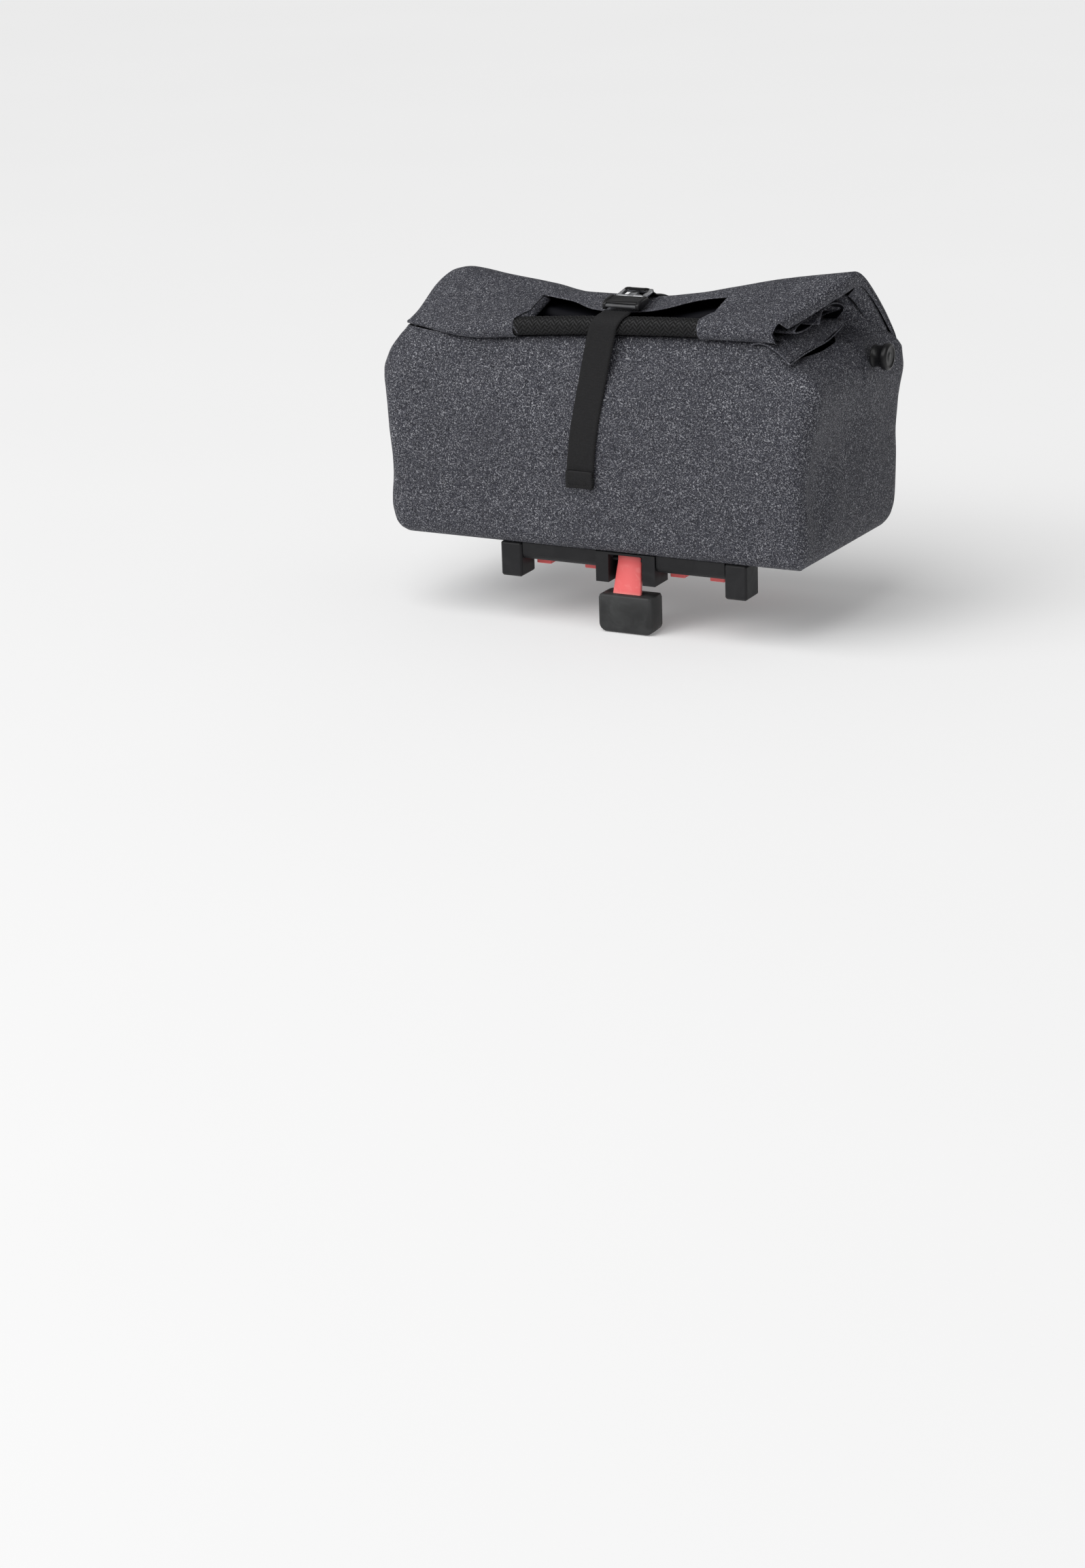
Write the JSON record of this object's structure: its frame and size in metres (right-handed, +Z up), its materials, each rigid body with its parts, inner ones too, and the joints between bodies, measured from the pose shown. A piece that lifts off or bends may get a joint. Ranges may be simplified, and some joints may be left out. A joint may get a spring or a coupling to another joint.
{
  "type": "roll-top bicycle rack bag with clamp-on rack adapter",
  "caption": "Roll-top cloth bag that stands on a bicycle rack: rolled mouth with braided grab handle, strap and metal hook closure, clamp-on adapter with a sprung release lever.",
  "frame": {"origin": "middle of the pads that stand on the two rack tubes, level with the tops of the tubes", "axes": "+X to the rear of the bicycle along the rack tubes, -Y to the side with the strap and the lever, +Z up"},
  "size_m": [0.372, 0.1792, 0.2643],
  "materials": {
    "cloth": "matt coated cloth, dark blue-grey melange with light flecks",
    "braid": "black braided sleeve",
    "webbing": "black woven webbing",
    "black_plastic": "fine-grained black moulding",
    "grip_plastic": "soft black moulding with worn edges",
    "grey_plastic": "light grey moulding",
    "red_plastic": "red moulding with a cloudy surface",
    "hook_metal": "cast and tumbled, satin"
  },
  "bodies": {
    "bag": {"bag_body": "cloth", "rolled_flap": "cloth", "inner_roll": "cloth", "gusset_fold_front": "cloth", "gusset_fold_rear": "cloth", "handle_braid": "braid", "front_strap": "webbing", "strap_foot": "webbing", "top_loop": "webbing", "buckle_body": "black_plastic", "buckle_bar": "grey_plastic", "metal_hook": "hook_metal", "end_knob": "black_plastic", "base_plate": "black_plastic", "rail_near_front": "black_plastic", "rail_near_rear": "black_plastic", "rail_far": "black_plastic", "leg_front_near": "black_plastic", "leg_front_far": "black_plastic", "leg_rear_near": "black_plastic", "leg_rear_far": "black_plastic", "pad_near_1": "red_plastic", "pad_near_2": "red_plastic", "pad_near_3": "red_plastic", "pad_near_4": "red_plastic", "pad_far_1": "red_plastic", "pad_far_2": "red_plastic", "pad_far_3": "red_plastic", "pad_far_4": "red_plastic", "lever_housing": "black_plastic", "housing_bridge": "black_plastic"},
    "lever": {"release_lever": "red_plastic", "lever_pin": "hook_metal", "grip_block": "grip_plastic"}
  },
  "joints": [
    {"name": "lever_release", "type": "hinge", "parent": "bag", "child": "lever", "pos_m": [0.003, -0.066, 0.0133], "axis": [-1, 0, 0], "range_deg": [0, 30], "stiffness_Nm_per_rad": 0.3, "springref_deg": -2.86}
  ]
}
